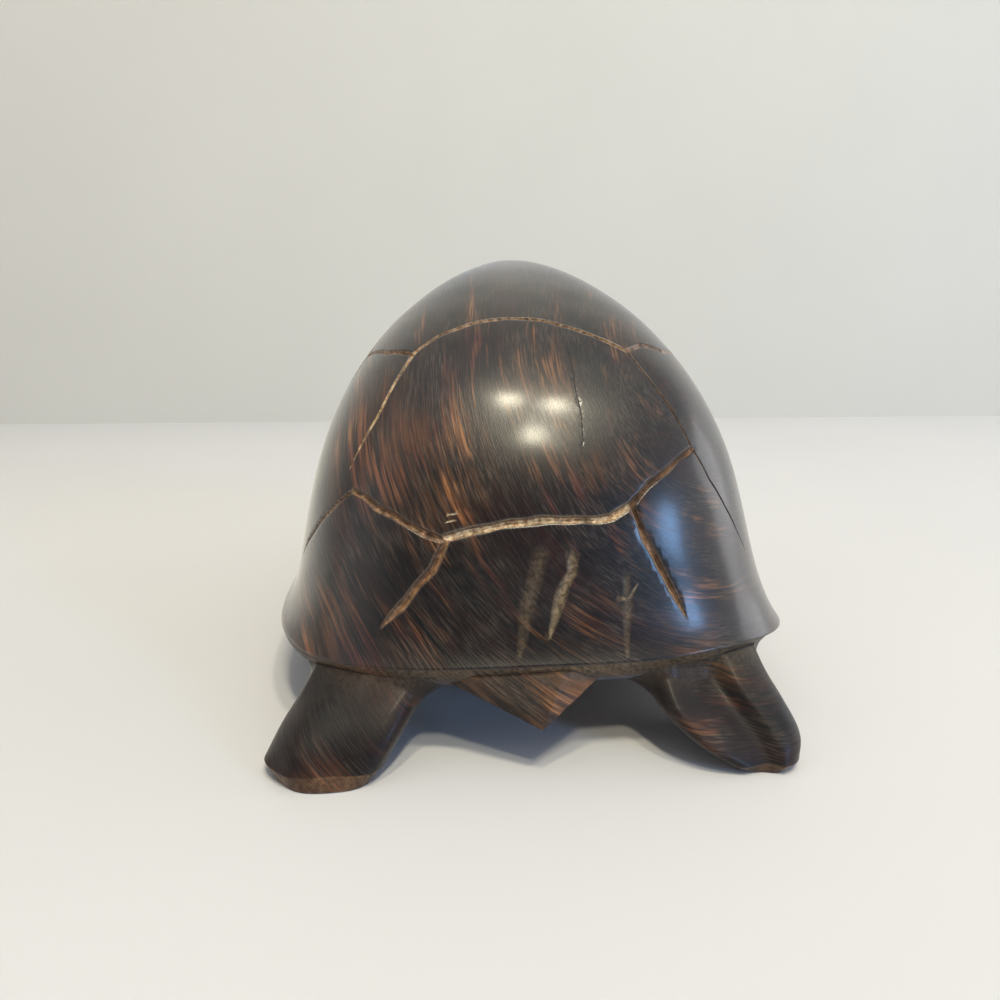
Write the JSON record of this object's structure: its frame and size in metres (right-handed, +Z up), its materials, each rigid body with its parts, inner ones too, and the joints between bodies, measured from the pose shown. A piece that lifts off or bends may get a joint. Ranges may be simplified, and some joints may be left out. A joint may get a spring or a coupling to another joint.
{
  "type": "turtle figurine",
  "caption": "Turtle figurine carved from dense dark hardwood: high domed shell with incised scutes, blunt raised head, wedge tail and splayed legs on flat soles.",
  "frame": {"origin": "under the middle of the whole figure, on the plane that its soles stand on", "axes": "+Z up, the head points along -Y and the tail along +Y, the turtle's left is +X"},
  "size_m": [0.096, 0.156, 0.0807],
  "materials": {
    "shell_wood": "polished and waxed very dark ironwood with red and orange streaks",
    "body_wood": "satin waxed dark ironwood with lighter orange-brown cut patches"
  },
  "bodies": {
    "root": {"carapace": "shell_wood", "plastron": "body_wood", "head": "body_wood", "tail": "body_wood", "front_left_leg": "body_wood", "front_right_leg": "body_wood", "rear_left_leg": "body_wood", "rear_right_leg": "body_wood"}
  },
  "joints": []
}
